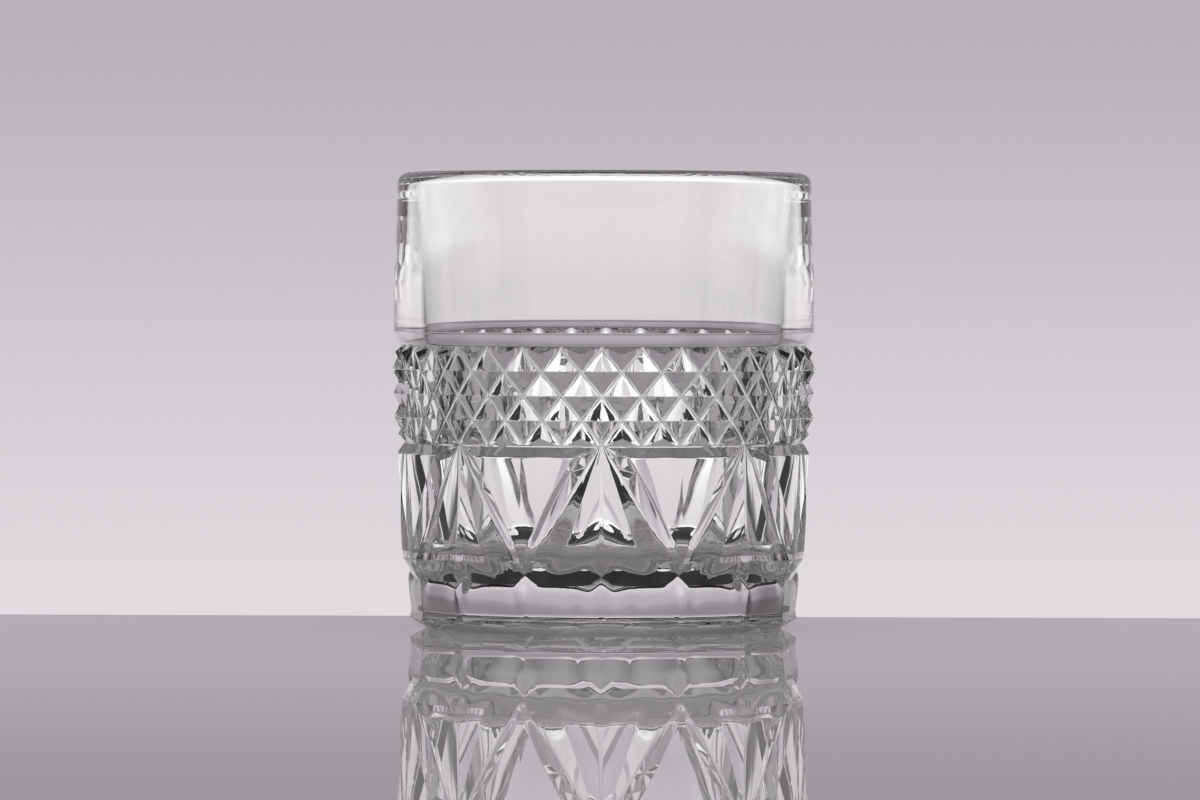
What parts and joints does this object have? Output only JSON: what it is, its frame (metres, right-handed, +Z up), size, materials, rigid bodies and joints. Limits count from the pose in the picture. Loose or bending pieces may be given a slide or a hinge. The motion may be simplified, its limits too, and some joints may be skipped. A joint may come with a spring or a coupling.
{
  "type": "whiskey tumbler",
  "caption": "Straight-sided clear cut-glass tumbler with a plain rim band, a belt of diamond points, fans and shield panels, and a thick faceted foot.",
  "frame": {"origin": "centre of the plane that the foot stands on", "axes": "+Z up along the glass's axis towards the lip, -Y through the centre line of one fan"},
  "size_m": [0.0888, 0.0888, 0.095],
  "materials": {
    "crystal": "clear colourless pressed crystal, fire polished, glossy inside and out"
  },
  "bodies": {
    "root": {"rim_lip": "crystal", "plain_wall": "crystal", "diamond_belt": "crystal", "fan_wall": "crystal", "solid_base": "crystal", "facet_foot": "crystal"}
  },
  "joints": []
}
